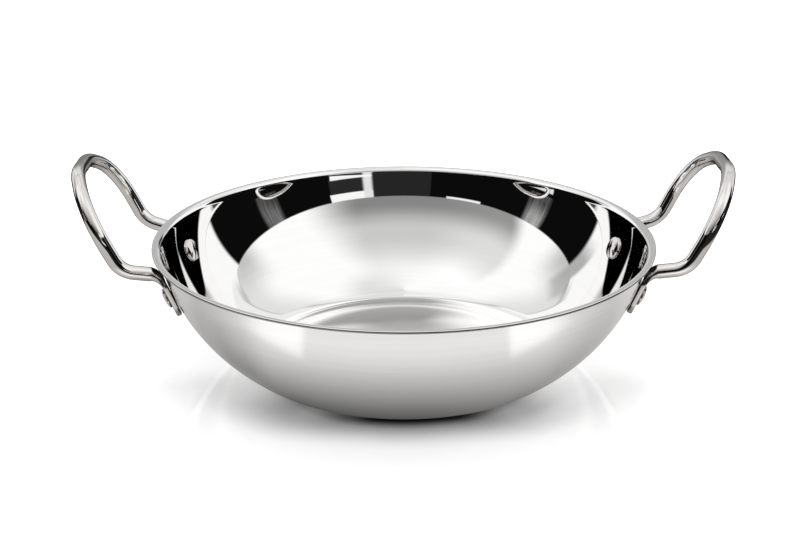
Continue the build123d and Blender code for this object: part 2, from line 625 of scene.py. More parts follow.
@dataclass
class Bowl:
    """The drawn sheet: flat base, rounded corner, one flank arc and a level lip.

    Attributes:
        rim_radius: Outer radius of the lip.
        height: Height of the lip's top.
        sheet: Thickness of the sheet.
        base_radius: Radius of the flat base.
        corner_radius: Outer radius of the base corner.
        lip_slope: Slope of the flank where the lip starts, in degrees.
        lip_bend: Radius of the lip's bend, on its outer side.
        lip_flat: Width of the level part of the lip.
        lip_edge: Rounding of the lip's edge.
        base_steps: Steps along the section's base.
        corner_steps: Steps along its corner.
        flank_steps: Steps along its flank.
        bend_steps: Steps along the lip's bend.
        edge_steps: Steps along each rounding of the lip's edge.
        cut_points: Points of the upper rounding that lie on the cut edge.
        steps: Steps round the axis.
        flank_radius: Outer radius of the flank's arc.
        flank_centre: Centre of that arc.
    """

    rim_radius: float = 125.0 * MM
    height: float = 64.8 * MM
    sheet: float = 1.3 * MM
    base_radius: float = 72.0 * MM
    corner_radius: float = 16.6 * MM
    lip_slope: float = 77.56
    lip_bend: float = 1.6 * MM
    lip_flat: float = 1.5 * MM
    lip_edge: float = 0.5 * MM
    base_steps: int = 8
    corner_steps: int = 18
    flank_steps: int = 48
    bend_steps: int = 10
    edge_steps: int = 5
    cut_points: int = 3
    steps: int = 256
    flank_radius: float = field(init=False)
    flank_centre: Vector = field(init=False)

    def __post_init__(self) -> None:
        """Work out the one arc that joins the base corner to the lip."""
        slope = math.radians(self.lip_slope)
        to_lip = Vector((math.sin(slope), -math.cos(slope)))
        reach = self.lip_centre - to_lip * self.lip_bend - self.corner_centre
        spare = 2.0 * (reach.dot(to_lip) - self.corner_radius)
        self.flank_radius = (reach.length_squared - self.corner_radius**2) / spare
        self.flank_centre = self.lip_centre - to_lip * (self.flank_radius + self.lip_bend)

    @property
    def corner_centre(self) -> Vector:
        """Centre of the base corner's arc."""
        return Vector((self.base_radius, self.corner_radius))

    @property
    def lip_centre(self) -> Vector:
        """Centre of the lip's bend."""
        return Vector((self.rim_radius - self.lip_flat, self.height - self.sheet - self.lip_bend))

    def face_points(self, depth: float) -> list[Vector]:
        """Work out one face of the section, from the axis to the lip's level part.

        Args:
            depth: How deep the face lies in the sheet, from the outer face.

        Returns:
            The points.
        """
        inward = self.flank_centre - self.corner_centre
        start = math.atan2(-inward.y, -inward.x)
        outward = self.lip_centre - self.flank_centre
        end = math.atan2(outward.y, outward.x)
        points = line_points(Vector((0.0, depth)), Vector((self.base_radius, depth)), self.base_steps)
        for centre, radius, first, last, steps in (
            (self.corner_centre, self.corner_radius - depth, -QUARTER, start, self.corner_steps),
            (self.flank_centre, self.flank_radius - depth, start, end, self.flank_steps),
            (self.lip_centre, self.lip_bend + depth, end + math.pi, QUARTER, self.bend_steps),
        ):
            points += arc_points(centre, radius, first, last, steps)
        return without_repeats(points)

    def half_section(self) -> tuple[list[Vector], dict[str, list[float]]]:
        """Work out the closed section from axis to axis, and its marks.

        Returns:
            The points, and for each point whether it lies on the inner face or the cut edge.
        """
        round_low = Vector((self.rim_radius - self.lip_edge, self.height - self.sheet + self.lip_edge))
        round_high = Vector((round_low.x, self.height - self.lip_edge))
        low = arc_points(round_low, self.lip_edge, -QUARTER, 0.0, self.edge_steps)
        high = arc_points(round_high, self.lip_edge, 0.0, QUARTER, self.edge_steps)
        points: list[Vector] = []
        marks: dict[str, list[float]] = {"inside": [], "edge": []}
        for stretch, inside, edge in (
            (self.face_points(0.0), 0.0, 0.0),
            (low + high[: self.cut_points], 0.0, 1.0),
            (high[self.cut_points :] + self.face_points(self.sheet)[::-1], 1.0, 0.0),
        ):
            last = points[-1:]
            kept = without_repeats(last + stretch)[len(last) :]
            points += kept
            marks["inside"] += [inside] * len(kept)
            marks["edge"] += [edge] * len(kept)
        return points, marks

    def build(self, spin: bpy.types.NodeTree, steel: bpy.types.Material) -> bpy.types.Object:
        """Build the bowl in place of its CAD node.

        Args:
            spin: The tree that turns a half section.
            steel: The bowl's material.

        Returns:
            The bowl.
        """
        section, marks = self.half_section()
        piece = spun_piece("bowl_sheet", spin, section, steel, self.steps, marks)
        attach(piece, "root")
        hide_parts("bowl")
        return piece


@dataclass
class LegLine:
    """The line of a handle's leg, in the upright plane through the bowl's axis.

    Attributes:
        bowl: The bowl that the leg is riveted to.
        angle: How far each leg stands from its handle's middle, in degrees.
        elbow_standoff: How far the elbow stands out past the rim.
        elbow_drop: How far the elbow lies under the rim.
        run_slope: Slope of the run from the wall to the elbow, in degrees.
        palm_thickness: Thickness of the palm.
        palm_bend: Radius of the bend between palm and run.
        palm_seat_gap: Gap between palm and wall.
        rivet_below_corner: How far the rivet lies under the corner of palm and run.
        elbow: Corner where the leg turns up.
        run_start: Where the run comes out of the palm's bend.
        rivet: Where the rivet's axis meets the wall.
        rivet_angle: Slope of the rivet's axis, in radians.
        wall_out: Direction out of the wall at the rivet.
        wall_up: Direction up the wall at the rivet.
        palm: Middle of the palm at the rivet.
        palm_turn: How far the palm's bend turns, in radians.
        palm_top: How far the flat palm reaches over the rivet.
        bend_centre: Centre of the palm's bend.
    """

    bowl: Bowl
    angle: float = 16.0
    elbow_standoff: float = 16.0 * MM
    elbow_drop: float = 4.0 * MM
    run_slope: float = 11.5
    palm_thickness: float = 2.8 * MM
    palm_bend: float = 8.0 * MM
    palm_seat_gap: float = 0.03 * MM
    rivet_below_corner: float = 12.7 * MM
    elbow: Vector = field(init=False)
    run_start: Vector = field(init=False)
    rivet: Vector = field(init=False)
    rivet_angle: float = field(init=False)
    wall_out: Vector = field(init=False)
    wall_up: Vector = field(init=False)
    palm: Vector = field(init=False)
    palm_turn: float = field(init=False)
    palm_top: float = field(init=False)
    bend_centre: Vector = field(init=False)

    def __post_init__(self) -> None:
        """Work out where the palm and the rivet lie."""
        bowl = self.bowl
        middle = self.palm_seat_gap + self.palm_thickness / 2.0
        circle = bowl.flank_radius + middle
        self.elbow = Vector((bowl.rim_radius + self.elbow_standoff, bowl.height - self.elbow_drop))
        run_out = flat(math.radians(self.run_slope))
        reach = self.elbow - bowl.flank_centre
        along = reach.dot(run_out)
        far = math.hypot(circle, self.rivet_below_corner)
        length = along - math.sqrt(along**2 - reach.length_squared + far**2)
        corner = self.elbow - run_out * length
        corner_reach = corner - bowl.flank_centre
        self.rivet_angle = math.atan2(corner_reach.y, corner_reach.x) - math.acos(circle / far)
        self.wall_out = flat(self.rivet_angle)
        self.wall_up = Vector((-self.wall_out.y, self.wall_out.x))
        self.rivet = bowl.flank_centre + self.wall_out * bowl.flank_radius
        self.palm = self.rivet + self.wall_out * middle
        self.palm_turn = self.rivet_angle + QUARTER - math.radians(self.run_slope)
        setback = self.palm_bend * math.tan(self.palm_turn / 2.0)
        self.palm_top = self.rivet_below_corner - setback
        self.bend_centre = self.palm + self.wall_up * self.palm_top + self.wall_out * self.palm_bend
        self.run_start = corner + run_out * setback


@dataclass
class Station:
    """One cross-section of a handle: where it is, how it faces and its shape.

    Attributes:
        place: Its middle.
        heading: Direction of the line through it.
        across: Direction of its width.
        width: Half its width.
        thickness: Half its thickness.
        flatness: 0 for an ellipse, 1 for a plate with rounded edges.
    """

    place: Vector
    heading: Vector
    across: Vector
    width: float
    thickness: float
    flatness: float = 0.0


@dataclass
class LoopHandle:
    """One handle: a rod bent to a loop, with a flattened palm at each end.

    Attributes:
        leg: The line of its legs.
        side: Which handle it is.
        rod_diameter: Diameter of the rod.
        knee_lean: How far the knee leans out past the elbow.
        knee_spread: How far the knee stands wider than the elbow.
        knee_rise: How far the knee stands over the elbow.
        shoulder_lean: How far the shoulder leans out past the elbow.
        shoulder_half_width: Half the distance between the shoulders.
        shoulder_rise: How far the shoulder stands over the elbow.
        bend_shares: Share of the shorter run that each bend takes up, elbow to shoulder.
        palm_width: Width of the palm.
        palm_below_rivet: How far the palm reaches below the rivet.
        palm_edge: Rounding of the palm's edges.
        edge_limit: Largest rounding, as a share of a cross-section's half width or thickness.
        tip_width: Width of the palm's first cross-section, as a share of the palm's.
        plate_power: How square the plate is laid out; 1 would be a circle.
        plate_spread: How far its points move out to the corners.
        rounding_rate: How fast the palm's bend turns from a plate to an ellipse.
        tip_steps: Steps along the palm's round end.
        palm_steps: Steps along the rest of the palm.
        palm_bend_steps: Steps along the palm's bend.
        rod_bend_steps: Steps along each bend of the rod.
        around: Points round a cross-section.
    """

    leg: LegLine
    side: Side
    rod_diameter: float = 7.0 * MM
    knee_lean: float = 14.4 * MM
    knee_spread: float = 1.5 * MM
    knee_rise: float = 29.0 * MM
    shoulder_lean: float = 22.5 * MM
    shoulder_half_width: float = 12.7 * MM
    shoulder_rise: float = 41.0 * MM
    bend_shares: tuple[float, float, float] = (0.45, 0.63, 0.29)
    palm_width: float = 12.5 * MM
    palm_below_rivet: float = 10.6 * MM
    palm_edge: float = 1.12 * MM
    edge_limit: float = 0.98
    tip_width: float = 0.002
    plate_power: float = 3.0
    plate_spread: float = 1.3
    rounding_rate: float = 1.6
    tip_steps: int = 22
    palm_steps: int = 8
    palm_bend_steps: int = 18
    rod_bend_steps: int = 26
    around: int = 56

    @property
    def name(self) -> str:
        """Name of the handle, as its CAD node has it."""
        return self.side.name.lower() + "_handle"

    def in_leg(self, out: float, across: float, up: float) -> Vector:
        """Return a point or direction of the front leg's upright plane in the object's frame."""
        return Matrix.Rotation(-math.radians(self.leg.angle), 3, "Z") @ Vector((out, across, up))

    def palm_station(self, place: Vector, heading: Vector, width: float, thickness: float) -> Station:
        """Make a flat cross-section in the front leg's plane.

        Args:
            place: Its middle, in the plane.
            heading: Direction of the line through it, in the plane.
            width: Half its width.
            thickness: Half its thickness.

        Returns:
            The cross-section.
        """
        return Station(
            self.in_leg(place.x, 0.0, place.y),
            self.in_leg(heading.x, 0.0, heading.y),
            self.in_leg(0.0, 1.0, 0.0),
            width,
            thickness,
            1.0,
        )

    def palm_stations(self) -> list[Station]:
        """Work out the cross-sections from the palm's tip to the start of the rod.

        Returns:
            The cross-sections.
        """
        leg = self.leg
        half, thick, rod = self.palm_width / 2.0, leg.palm_thickness / 2.0, self.rod_diameter / 2.0
        stations: list[Station] = []
        for step in range(self.tip_steps + 1):
            angle = QUARTER * step / self.tip_steps
            rise = half * (1.0 - math.cos(angle))
            place = leg.palm + leg.wall_up * (-self.palm_below_rivet + rise)
            edge = min(1.0, rise / self.palm_edge)
            fill = math.sqrt(max(0.0, 1.0 - (1.0 - edge) ** 2))
            width = half * max(math.sin(angle), self.tip_width)
            thickness = thick - self.palm_edge * (1.0 - fill)
            stations.append(self.palm_station(place, leg.wall_up, width, thickness))
        straight = leg.palm_top + self.palm_below_rivet - half
        for step in range(1, self.palm_steps + 1):
            low = -self.palm_below_rivet + half + straight * step / self.palm_steps
            stations.append(self.palm_station(leg.palm + leg.wall_up * low, leg.wall_up, half, thick))
        for step in range(1, self.palm_bend_steps + 1):
            share = step / self.palm_bend_steps
            heading = flat(math.atan2(leg.wall_up.y, leg.wall_up.x) - leg.palm_turn * share)
            place = leg.bend_centre - Vector((heading.y, -heading.x)) * leg.palm_bend
            width, thickness = half + (rod - half) * share, thick + (rod - thick) * share
            station = self.palm_station(place, heading, width, thickness)
            station.flatness = max(0.0, 1.0 - self.rounding_rate * share)
            stations.append(station)
        return stations

    def rod_line(self) -> list[tuple[Vector, Vector]]:
        """Work out places and headings along the rod, from its start to the grip's middle.

        Returns:
            The places, each with its heading.
        """
        leg = self.leg
        start = self.in_leg(leg.run_start.x, 0.0, leg.run_start.y)
        elbow = self.in_leg(leg.elbow.x, 0.0, leg.elbow.y)
        knee = elbow + Vector((self.knee_lean, -self.knee_spread, self.knee_rise))
        shoulder = Vector(
            (elbow.x + self.shoulder_lean, -self.shoulder_half_width, elbow.z + self.shoulder_rise)
        )
        grip = Vector((shoulder.x, self.shoulder_half_width, shoulder.z))
        corners = [start, elbow, knee, shoulder, grip]
        line: list[tuple[Vector, Vector]] = []
        for i, share in enumerate(self.bend_shares, start=1):
            corner = corners[i]
            back, ahead = corners[i - 1] - corner, corners[i + 1] - corner
            setback = share * min(back.length, ahead.length)
            turn = math.pi - back.angle(ahead)
            radius = setback / math.tan(turn / 2.0)
            back.normalize()
            ahead.normalize()
            centre = corner + (back + ahead).normalized() * math.hypot(radius, setback)
            normal = (corner + back * setback - centre).normalized()
            for step in range(self.rod_bend_steps + 1):
                angle = turn * step / self.rod_bend_steps
                heading = -back * math.cos(angle) - normal * math.sin(angle)
                place = centre + (normal * math.cos(angle) - back * math.sin(angle)) * radius
                line.append((place, heading))
        line.append((Vector((shoulder.x, 0.0, shoulder.z)), Vector((0.0, 1.0, 0.0))))
        return line

    def stations(self) -> list[Station]:
        """Work out the cross-sections from the front palm's tip to the grip's middle.

        Returns:
            The cross-sections.
        """
        stations = self.palm_stations()
        rod = self.rod_diameter / 2.0
        across, heading = stations[-1].across, stations[-1].heading
        for place, new_heading in self.rod_line():
            across = heading.rotation_difference(new_heading) @ across
            heading = new_heading
            if (place - stations[-1].place).length >= 10.0 * MERGE_DISTANCE:
                stations.append(Station(place, heading, across, rod, rod))
        return stations

    def ring(self, station: Station) -> list[Vector]:
        """Work out the points of one cross-section.

        Args:
            station: The cross-section.

        Returns:
            The points round it.
        """
        sides = (station.across, station.heading.cross(station.across).normalized())
        halves = (station.width, station.thickness)
        edge = min(self.palm_edge, *(half * self.edge_limit for half in halves))
        points: list[Vector] = []
        for i in range(self.around):
            direction = flat(2.0 * math.pi * i / self.around)
            bulges = [math.copysign(abs(part) ** (1.0 / self.plate_power), part) for part in direction]
            norm = math.hypot(*bulges)
            point = station.place.copy()
            for side, half, part, bulge in zip(sides, halves, direction, bulges):
                box = math.copysign(half - edge, bulge) * min(1.0, abs(bulge) * self.plate_spread)
                plate = box + edge * bulge / norm
                point += side * (half * part + (plate - half * part) * station.flatness)
            points.append(point)
        return points

    def build(self, steel: bpy.types.Material) -> bpy.types.Object:
        """Build the handle in place of its CAD node.

        Args:
            steel: The handle's material.

        Returns:
            The handle.
        """
        work = bmesh.new()
        rings = [[work.verts.new(point) for point in self.ring(station)] for station in self.stations()]
        for first, second in zip(rings, rings[1:]):
            for i in range(self.around):
                j = (i + 1) % self.around
                work.faces.new((first[i], first[j], second[j], second[i]))
        work.faces.new(rings[0][::-1])
        mirrored = bmesh.ops.duplicate(work, geom=work.verts[:] + work.faces[:])["geom"]
        for item in mirrored:
            if isinstance(item, bmesh.types.BMVert):
                item.co.y = -item.co.y
        if self.side is Side.LEFT:
            bmesh.ops.rotate(work, verts=work.verts, matrix=Matrix.Rotation(math.pi, 3, "Z"))
        mesh = bpy.data.meshes.new(self.name)
        work.to_mesh(mesh)
        work.free()
        mesh.materials.append(steel)
        piece = finished_piece(self.name + "_rod", mesh)
        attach(piece, "root")
        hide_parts(self.name)
        return piece


@dataclass
class Rivet:
    """One rivet: a wide low head inside the bowl, a shank and a head on the palm.

    Attributes:
        leg: The line of the leg that it holds.
        side: The handle that it holds.
        row: The leg that it holds.
        shank_radius: Radius of the shank.
        inner_radius: Radius of the inner head.
        inner_height: Height of the inner head.
        inner_edge: Height of the inner head at its edge.
        outer_radius: Radius of the outer head.
        outer_height: Height of the outer head.
        outer_edge: Height of the outer head at its edge.
        seat_bevel: Bevel at a head's seat.
        top_bevel: Height of the bevel over a head's edge.
        dome_steps: Steps along a head's dome.
        steps: Steps round its axis.
    """

    leg: LegLine
    side: Side
    row: Row
    shank_radius: float = 2.5 * MM
    inner_radius: float = 5.75 * MM
    inner_height: float = 1.6 * MM
    inner_edge: float = 0.7 * MM
    outer_radius: float = 5.0 * MM
    outer_height: float = 1.9 * MM
    outer_edge: float = 0.8 * MM
    seat_bevel: float = 0.12 * MM
    top_bevel: float = 0.1 * MM
    dome_steps: int = 13
    steps: int = 64

    @property
    def name(self) -> str:
        """Name of the rivet, as its CAD node has it."""
        return f"{self.side.name}_{self.row.name}_rivet".lower()

    def dome(self, radius: float, edge: float, height: float, base: float, up: float) -> list[Vector]:
        """Work out a head's outline from its seat's edge to its top.

        Args:
            radius: Radius of the head.
            edge: Height of its edge.
            height: Height of its top.
            base: Where its seat lies.
            up: 1 for a head that rises, -1 for one that hangs.

        Returns:
            The points.
        """
        rise = height - edge
        curve = (radius**2 + rise**2) / (2.0 * rise)
        half = math.asin(radius / curve)
        points = [
            Vector((radius - self.seat_bevel, base)),
            Vector((radius, base + up * self.seat_bevel)),
            Vector((radius, base + up * (edge - self.top_bevel))),
        ]
        for step in range(self.dome_steps + 1):
            angle = half * (1.0 - step / self.dome_steps)
            height_here = height - curve * (1.0 - math.cos(angle))
            points.append(Vector((curve * math.sin(angle), base + up * height_here)))
        return points

    def half_section(self) -> list[Vector]:
        """Work out the half section, with the shank along Y and the palm's side up.

        Returns:
            The points from axis to axis.
        """
        bowl = self.leg.bowl
        curve = bowl.flank_radius - bowl.sheet
        sag = curve - math.sqrt(curve**2 - self.inner_radius**2)
        inner_seat = -bowl.sheet - sag
        outer_seat = self.leg.palm_seat_gap + self.leg.palm_thickness
        inner = self.dome(self.inner_radius, self.inner_edge, self.inner_height, inner_seat, -1.0)
        outer = self.dome(self.outer_radius, self.outer_edge, self.outer_height, outer_seat, 1.0)
        shank = [Vector((self.shank_radius, inner_seat)), Vector((self.shank_radius, outer_seat))]
        return without_repeats(inner[::-1] + shank + outer)

    def build(self, spin: bpy.types.NodeTree, steel: bpy.types.Material) -> bpy.types.Object:
        """Build the rivet in place of its CAD node.

        Args:
            spin: The tree that turns a half section.
            steel: The rivet's material.

        Returns:
            The rivet.
        """
        leg = self.leg
        turn = leg.angle if self.side is Side.RIGHT else -leg.angle
        piece = spun_piece(
            self.name + "_steel",
            spin,
            self.half_section(),
            steel,
            self.steps,
            tilt=QUARTER - leg.rivet_angle,
            seat=Vector((leg.rivet.x, 0.0, leg.rivet.y)),
            azimuth=math.radians(self.side.value + self.row.value * turn),
        )
        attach(piece, "root")
        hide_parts(self.name)
        return piece


# The studio


@dataclass(frozen=True)
class Patch:
    """A soft-edged patch of the studio, by azimuth and by elevation or radius.

    Attributes:
        strength: How strong it is where it is full.
        start: Azimuths over which it comes in, in degrees.
        end: Azimuths over which it goes out, in degrees.
        low: Elevations or radii over which it comes in.
        high: Elevations or radii over which it goes out.
    """

    strength: float
    start: Span | None = None
    end: Span | None = None
    low: Span | None = None
    high: Span | None = None

    def over(self, azimuth: Wire, place: Wire) -> Wire:
        """Work out how strong the patch is in a direction or at a place.

        Args:
            azimuth: Azimuth, or its size or opposite, in degrees.
            place: Elevation in degrees, or radius in metres.

        Returns:
            The strength.
        """
        share: Value = self.strength
        for wire, span in ((azimuth, self.start), (place, self.low)):
            if span:
                share = wire.rise(span) * share
        for wire, span in ((azimuth, self.end), (place, self.high)):
            if span:
                share = wire.fall(span) * share
        return share


@dataclass(frozen=True)
class Panel:
    """A panel on the studio's wall, as the pan sees it.

    Attributes:
        azimuths: Its limits from the camera's side, in degrees, positive to the right.
        elevations: Its limits above the horizon, in degrees.
        level: Its brightness.
        soft: Half the width of its upright edges, in degrees.
        streaks: How far upright streaks move its brightness.
        level_soft: Half the width of its level edges, in degrees.
    """

    azimuths: Span
    elevations: Span
    level: float
    soft: float = 0.4
    streaks: float = 0.0
    level_soft: float = 0.4

    def over(self, behind: Value, azimuth: Wire, elevation: Wire, streaks: Wire) -> Wire:
        """Lay the panel over what is behind it.

        Args:
            behind: Brightness behind the panel.
            azimuth: Azimuth, in degrees.
            elevation: Elevation, in degrees.
            streaks: Upright streaks, around 0.

        Returns:
            The brightness with the panel.
        """
        mask = azimuth.within(self.azimuths, self.soft)
        mask = mask * elevation.within(self.elevations, self.level_soft)
        bright = streaks * (self.streaks * self.level) + self.level
        return behind + mask * (bright.largest(0.0) - behind)


@dataclass(frozen=True)
class Wall:
    """The dark wall on the camera's side with its panels, and the light wall behind the pan.

    Azimuths are in degrees from the camera's side, elevations in degrees above the horizon.

    Attributes:
        dark_level: Brightness of the dark wall.
        ends: Azimuths where the dark wall gives way to the light one.
        panels: The panels on the dark wall.
        streak_across: How fast the streaks change across, for each degree.
        streak_up: How fast they change upwards, for each degree.
        streak_detail: How many finer layers they have.
        light_level: Brightness of the light wall.
        far_ends: Azimuths where the light wall gives way to its dull middle.
        far_shade: How much darker that middle is at its foot.
        far_shade_gain: How much stronger that shade is over the foot.
        far_shade_loss: How much weaker it is higher up.
        strip: A dark strip on the right, low down.
        left_shade: A shade beside the dark wall's left end.
        right_step: A faint step over the light wall on the right.
        top_level: Elevation of the wall's top.
        top_rises: How much higher the top is at the sides and behind.
    """

    dark_level: float = 0.004
    ends: Span = (111.5, 114.0)
    panels: tuple[Panel, ...] = (
        Panel((-14.0, 16.0), (-5.0, 24.0), 0.022),
        Panel((-42.0, -23.0), (23.0, 26.0), 1.1),
        Panel((16.5, 39.5), (19.5, 26.0), 1.1),
        Panel((21.0, 39.0), (9.5, 19.5), 0.026),
        Panel((16.5, 21.0), (8.0, 25.0), 0.9, 1.0),
        Panel((16.5, 38.0), (6.0, 10.6), 1.1),
        Panel((-80.0, -68.0), (8.0, 25.5), 0.10, 1.5, 3.2),
        Panel((-79.0, -69.0), (16.5, 32.0), 0.40, 2.5, 1.8, 5.0),
        Panel((-80.0, -65.0), (3.0, 6.0), 0.9),
        Panel((69.0, 80.0), (8.0, 25.0), 0.08, 1.5, 3.2),
        Panel((69.5, 79.0), (16.0, 32.0), 0.18, 2.5, 2.4, 5.0),
        Panel((67.0, 78.0), (2.0, 5.0), 0.9),
    )
    streak_across: float = 0.9
    streak_up: float = 0.05
    streak_detail: float = 3.0
    light_level: float = 1.12
    far_ends: Span = (143.0, 154.0)
    far_shade: float = 0.36
    far_shade_gain: Patch = Patch(0.22, low=(2.0, 16.0))
    far_shade_loss: Patch = Patch(0.45, low=(26.0, 40.0))
    strip: Patch = Patch(0.92, start=(158.0, 160.0), end=(168.0, 170.0), high=(12.0, 16.0))
    left_shade: Patch = Patch(0.55, (108.5, 111.5), (119.5, 122.5), (8.0, 20.0), (24.0, 36.0))
    right_step: Patch = Patch(0.12, start=(121.0, 129.0), end=(144.0, 152.0), low=(24.0, 24.6))
    top_level: float = 24.2
    top_rises: tuple[Patch, ...] = (
        Patch(1.3, start=(30.0, 95.0)),
        Patch(6.0, start=(115.0, 138.0)),
        Patch(24.0, start=(132.0, 141.0)),
    )

    def seen(self, works: NodeWorks, azimuth: Wire, elevation: Wire) -> Wire:
        """Work out the wall's brightness in a direction.

        Args:
            works: The world's tree.
            azimuth: Azimuth, in degrees.
            elevation: Elevation, in degrees.

        Returns:
            The brightness.
        """
        grain = works.together(azimuth * self.streak_across, elevation * self.streak_up, 0.0)
        streaks = works.noise(grain, 1.0, self.streak_detail) - NOISE_MIDDLE
        dark: Value = self.dark_level
        for panel in self.panels:
            dark = panel.over(dark, azimuth, elevation, streaks)
        side = azimuth.size()
        dull = self.far_shade + self.far_shade_gain.over(side, elevation)
        dull = dull - self.far_shade_loss.over(side, elevation)
        light = self.light_level - side.rise(self.far_ends) * dull
        for shade, turn in ((self.strip, azimuth), (self.left_shade, -azimuth), (self.right_step, azimuth)):
            light = light * (1.0 - shade.over(turn, elevation))
        return dark.blend(side.rise(self.ends), light)

    def top(self, azimuth: Wire) -> Wire:
        """Work out the elevation where the wall meets the ceiling.

        Args:
            azimuth: Azimuth, in degrees.

        Returns:
            The elevation, in degrees.
        """
        side = azimuth.size()
        top: Value = self.top_level
        for rise in self.top_rises:
            top = top + rise.over(side, side)
        return top


@dataclass(frozen=True)
class Ceiling:
    """The bright ceiling, greyer in the middle of the side that faces the camera.

    Azimuths are in degrees from the camera's side, elevations in degrees above the horizon.

    Attributes:
        open_level: Brightness of its open sides.
        foot_shade: How much darker those sides are at their foot.
        dull_level: Brightness of its grey middle, low down.
        dull_rises: How much brighter the middle is half way up, and higher up.
        left_edge: Azimuths of the middle's left edge at the horizon.
        left_lean: How far that edge leans to the left, in degrees for each degree up.
        right_edge: Azimuths of the middle's right edge.
        left_lift: How much brighter the middle is on its left.
        back_ends: Azimuths over which the sides give way to the back.
        back_level: Brightness behind the pan, low down.
        back_lift: How much brighter it is there higher up.
        back_shade: How much darker it is there on the right.
        notch: A shade on the left, low down.
        over_level: Brightness overhead.
        over_slope: How much brighter it is overhead on the brightest side.
        over_turn: How far left of the camera's side that side is, in degrees.
        over_foot: Elevations over which the sides give way to what is overhead.
    """

    open_level: float = 1.17
    foot_shade: Patch = Patch(0.45, start=(90.0, 108.0), high=(26.0, 46.0))
    dull_level: float = 0.28
    dull_rises: tuple[Patch, ...] = (Patch(0.41, low=(28.0, 46.0)), Patch(0.38, low=(50.0, 78.0)))
    left_edge: Span = (-59.0, -47.0)
    left_lean: float = 0.57
    right_edge: Span = (24.0, 62.0)
    left_lift: Patch = Patch(0.25, start=(10.0, 60.0), high=(66.0, 86.0))
    back_ends: Span = (108.0, 135.0)
    back_level: float = 0.88
    back_lift: Patch = Patch(0.18, low=(54.0, 66.0))
    back_shade: Patch = Patch(0.20, start=(145.0, 165.0), low=(58.0, 66.0))
    notch: Patch = Patch(0.30, start=(110.0, 116.0), end=(125.0, 131.0), high=(33.0, 39.0))
    over_level: float = 1.02
    over_slope: float = 0.15
    over_turn: float = 60.0
    over_foot: Span = (66.0, 79.0)

    def seen(self, works: NodeWorks, azimuth: Wire, elevation: Wire) -> Wire:
        """Work out the ceiling's brightness in a direction.

        Args:
            works: The world's tree.
            azimuth: Azimuth, in degrees.
            elevation: Elevation, in degrees.

        Returns:
            The brightness.
        """
        side = azimuth.size()
        middle = (azimuth + elevation * self.left_lean).rise(self.left_edge)
        middle = middle * azimuth.fall(self.right_edge)
        dull: Value = self.dull_level
        for rise in self.dull_rises:
            dull = dull + rise.over(side, elevation)
        dull = dull * (self.left_lift.over(-azimuth, elevation) + 1.0)
        sides = (1.0 - self.foot_shade.over(side, elevation)) * self.open_level
        back = self.back_level + self.back_lift.over(side, elevation)
        back = back - self.back_shade.over(azimuth, elevation)
        low = sides.blend(middle, dull).blend(side.rise(self.back_ends), back)
        low = low * (1.0 - self.notch.over(-azimuth, elevation))
        turned = (azimuth + self.over_turn) / DEGREES
        over = works.maths("COSINE", turned) * self.over_slope + self.over_level
        return low.blend(elevation.rise(self.over_foot), over)


@dataclass(frozen=True)
class SecondSight:
    """The walls and ceiling as steel shows them when it is itself seen in steel.

    Azimuths are in degrees from the camera's side, elevations in degrees above the horizon.

    Attributes:
        wall_top: Lowest elevation of the dark wall's top.
        wall_rises: How much higher that top is at the sides and in front.
        wall_soft: Half the height of the edge between wall and ceiling.
        open_level: Brightness of the ceiling's foot.
        foot_shade: How much darker that foot is at the sides.
        high_foot: Elevations over which the foot gives way to the ceiling higher up.
        high_level: Brightness of the ceiling higher up.
        zenith_shade: How much darker it is straight overhead.
        behind: The dull part behind the pan.
        behind_level: Brightness of that part.
        behind_lean: How far it leans, in degrees for each degree up.
        behind_height: Elevation that it leans about.
        behind_turn: How much nearer the back it starts, in degrees.
        behind_right: How much further round it reaches on the right.
        behind_split: Azimuths over which the left gives way to the right.
        ends: The part beside the dark wall's ends.
        end_light: Brightness of that part.
        front: The part in front, up to the ceiling's middle.
        front_level: Brightness of that part.
    """

    wall_top: float = 16.5
    wall_rises: tuple[Patch, ...] = (Patch(15.0, start=(42.0, 92.0)), Patch(12.0, end=(20.0, 30.0)))
    wall_soft: float = 0.6
    open_level: float = 1.3
    foot_shade: Patch = Patch(0.75, start=(76.0, 90.0), high=(30.0, 41.0))
    high_foot: Span = (44.0, 56.0)
    high_level: float = 1.5
    zenith_shade: Patch = Patch(0.75, low=(72.0, 86.0))
    behind: Patch = Patch(1.0, start=(142.0, 168.0), low=(54.0, 66.0), high=(80.0, 90.0))
    behind_level: float = 0.55
    behind_lean: float = 0.9
    behind_height: float = 64.0
    behind_turn: float = 6.0
    behind_right: float = 26.0
    behind_split: Span = (-0.5, 0.5)
    ends: Patch = Patch(1.0, start=(106.0, 110.0), high=(50.0, 58.0))
    end_light: Patch = Patch(1.1, low=(6.0, 11.0))
    front: Patch = Patch(1.0, end=(24.0, 34.0), high=(60.0, 72.0))
    front_level: float = 0.10

    def seen(self, azimuth: Wire, elevation: Wire) -> Wire:
        """Work out the brightness in a direction.

        Args:
            azimuth: Azimuth, in degrees.
            elevation: Elevation, in degrees.

        Returns:
            The brightness.
        """
        side = azimuth.size()
        over: Wire = elevation - self.wall_top
        for rise in self.wall_rises:
            over = over - rise.over(side, elevation)
        foot = self.open_level - self.foot_shade.over(side, elevation)
        high = self.high_level - self.zenith_shade.over(side, elevation)
        turned = side - self.behind_turn + azimuth.rise(self.behind_split) * self.behind_right
        turned = turned + (elevation - self.behind_height) * self.behind_lean
        high = high.blend(self.behind.over(turned, elevation), self.behind_level)
        level = foot.blend(elevation.rise(self.high_foot), high)
        level = level * over.rise((-self.wall_soft, self.wall_soft))
        level = level.blend(self.ends.over(side, elevation), self.end_light.over(side, elevation))
        return level.blend(self.front.over(side, elevation), self.front_level)


